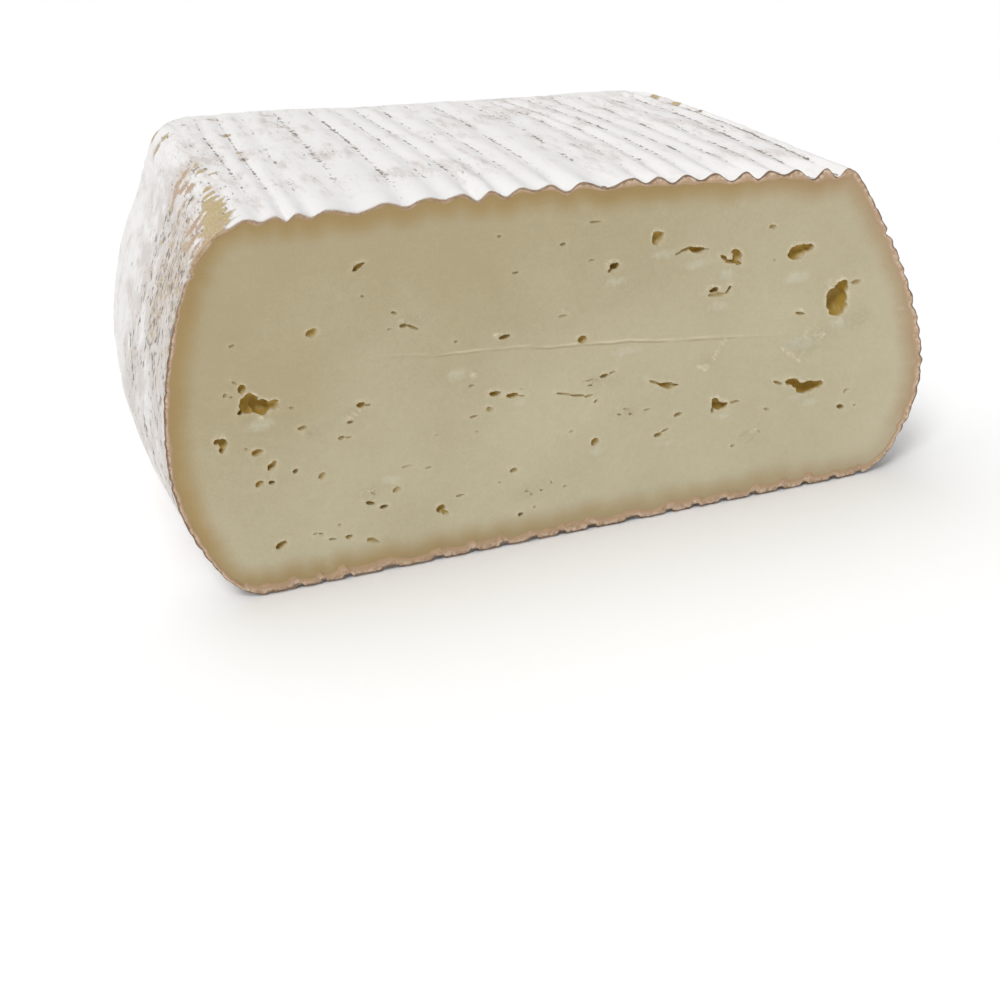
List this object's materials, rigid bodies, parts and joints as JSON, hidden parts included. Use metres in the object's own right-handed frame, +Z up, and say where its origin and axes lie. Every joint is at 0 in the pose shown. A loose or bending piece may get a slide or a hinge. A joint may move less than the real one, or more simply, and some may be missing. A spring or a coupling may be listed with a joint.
{
  "type": "buffalo milk soft cheese, half",
  "caption": "Half of a square soft-ripened cheese with bellied walls, a ridged white mould rind and a flat cut face with small uneven eyes, resting on its base.",
  "frame": {"origin": "under the middle of the half, at the level of the base it rests on", "axes": "+X to the right along the cut face, +Y from the cut face to the back wall, +Z up"},
  "size_m": [0.2052, 0.1624, 0.0959],
  "materials": {
    "rind": "matte",
    "paste": "satin"
  },
  "bodies": {
    "root": {"cheese_half": "rind"}
  },
  "joints": []
}
